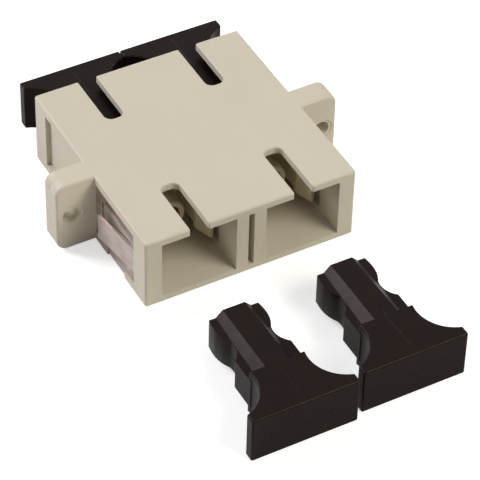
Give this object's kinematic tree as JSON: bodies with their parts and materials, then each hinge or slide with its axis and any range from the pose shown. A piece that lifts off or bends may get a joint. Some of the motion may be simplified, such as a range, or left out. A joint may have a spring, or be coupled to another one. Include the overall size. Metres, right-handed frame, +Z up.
{
  "type": "duplex sc fibre adapter",
  "caption": "Flanged duplex fibre adapter with keyed plug ports, a sprung steel panel clip and removable dust caps.",
  "frame": {"origin": "centre of the flange, midway between the two screw holes and the two optical axes", "axes": "+Y along the optical axes towards the rear ports, +X to the right seen from the front, +Z up, away from the table"},
  "size_m": [0.035, 0.0567, 0.0094],
  "materials": {
    "housing_plastic": "satin moulded, beige",
    "spring_steel": "rolled sheet, satin",
    "latch_plastic": "satin moulded, beige",
    "holder_plastic": "satin moulded, tan",
    "bronze": "drawn tube",
    "cap_plastic": "semi-gloss moulded, near black"
  },
  "bodies": {
    "adapter": {"front_housing": "housing_plastic", "rear_housing": "housing_plastic", "panel_clip": "spring_steel", "split_sleeve_left": "bronze", "latch_front_left": "latch_plastic", "latch_rear_left": "latch_plastic", "sleeve_holder_front_left": "holder_plastic", "sleeve_holder_rear_left": "holder_plastic", "split_sleeve_right": "bronze", "latch_front_right": "latch_plastic", "latch_rear_right": "latch_plastic", "sleeve_holder_front_right": "holder_plastic", "sleeve_holder_rear_right": "holder_plastic"},
    "cap_front_left": {"dust_cap_front_left": "cap_plastic"},
    "cap_front_right": {"dust_cap_front_right": "cap_plastic"},
    "cap_rear_left": {"dust_cap_rear_left": "cap_plastic"},
    "cap_rear_right": {"dust_cap_rear_right": "cap_plastic"}
  },
  "joints": [
    {"name": "front_left_cap_insertion", "type": "slide", "parent": "adapter", "child": "cap_front_left", "axis": [0.0371, 0.9959, 0.0828], "range_m": [0, 0.02023]},
    {"name": "front_right_cap_insertion", "type": "slide", "parent": "adapter", "child": "cap_front_right", "axis": [0, 0.9963, 0.0858], "range_m": [0, 0.01952]},
    {"name": "rear_left_cap_pull", "type": "slide", "parent": "adapter", "child": "cap_rear_left", "axis": [0, 1, 0], "range_m": [0, 0.02]},
    {"name": "rear_right_cap_pull", "type": "slide", "parent": "adapter", "child": "cap_rear_right", "axis": [0, 1, 0], "range_m": [0, 0.02]}
  ]
}
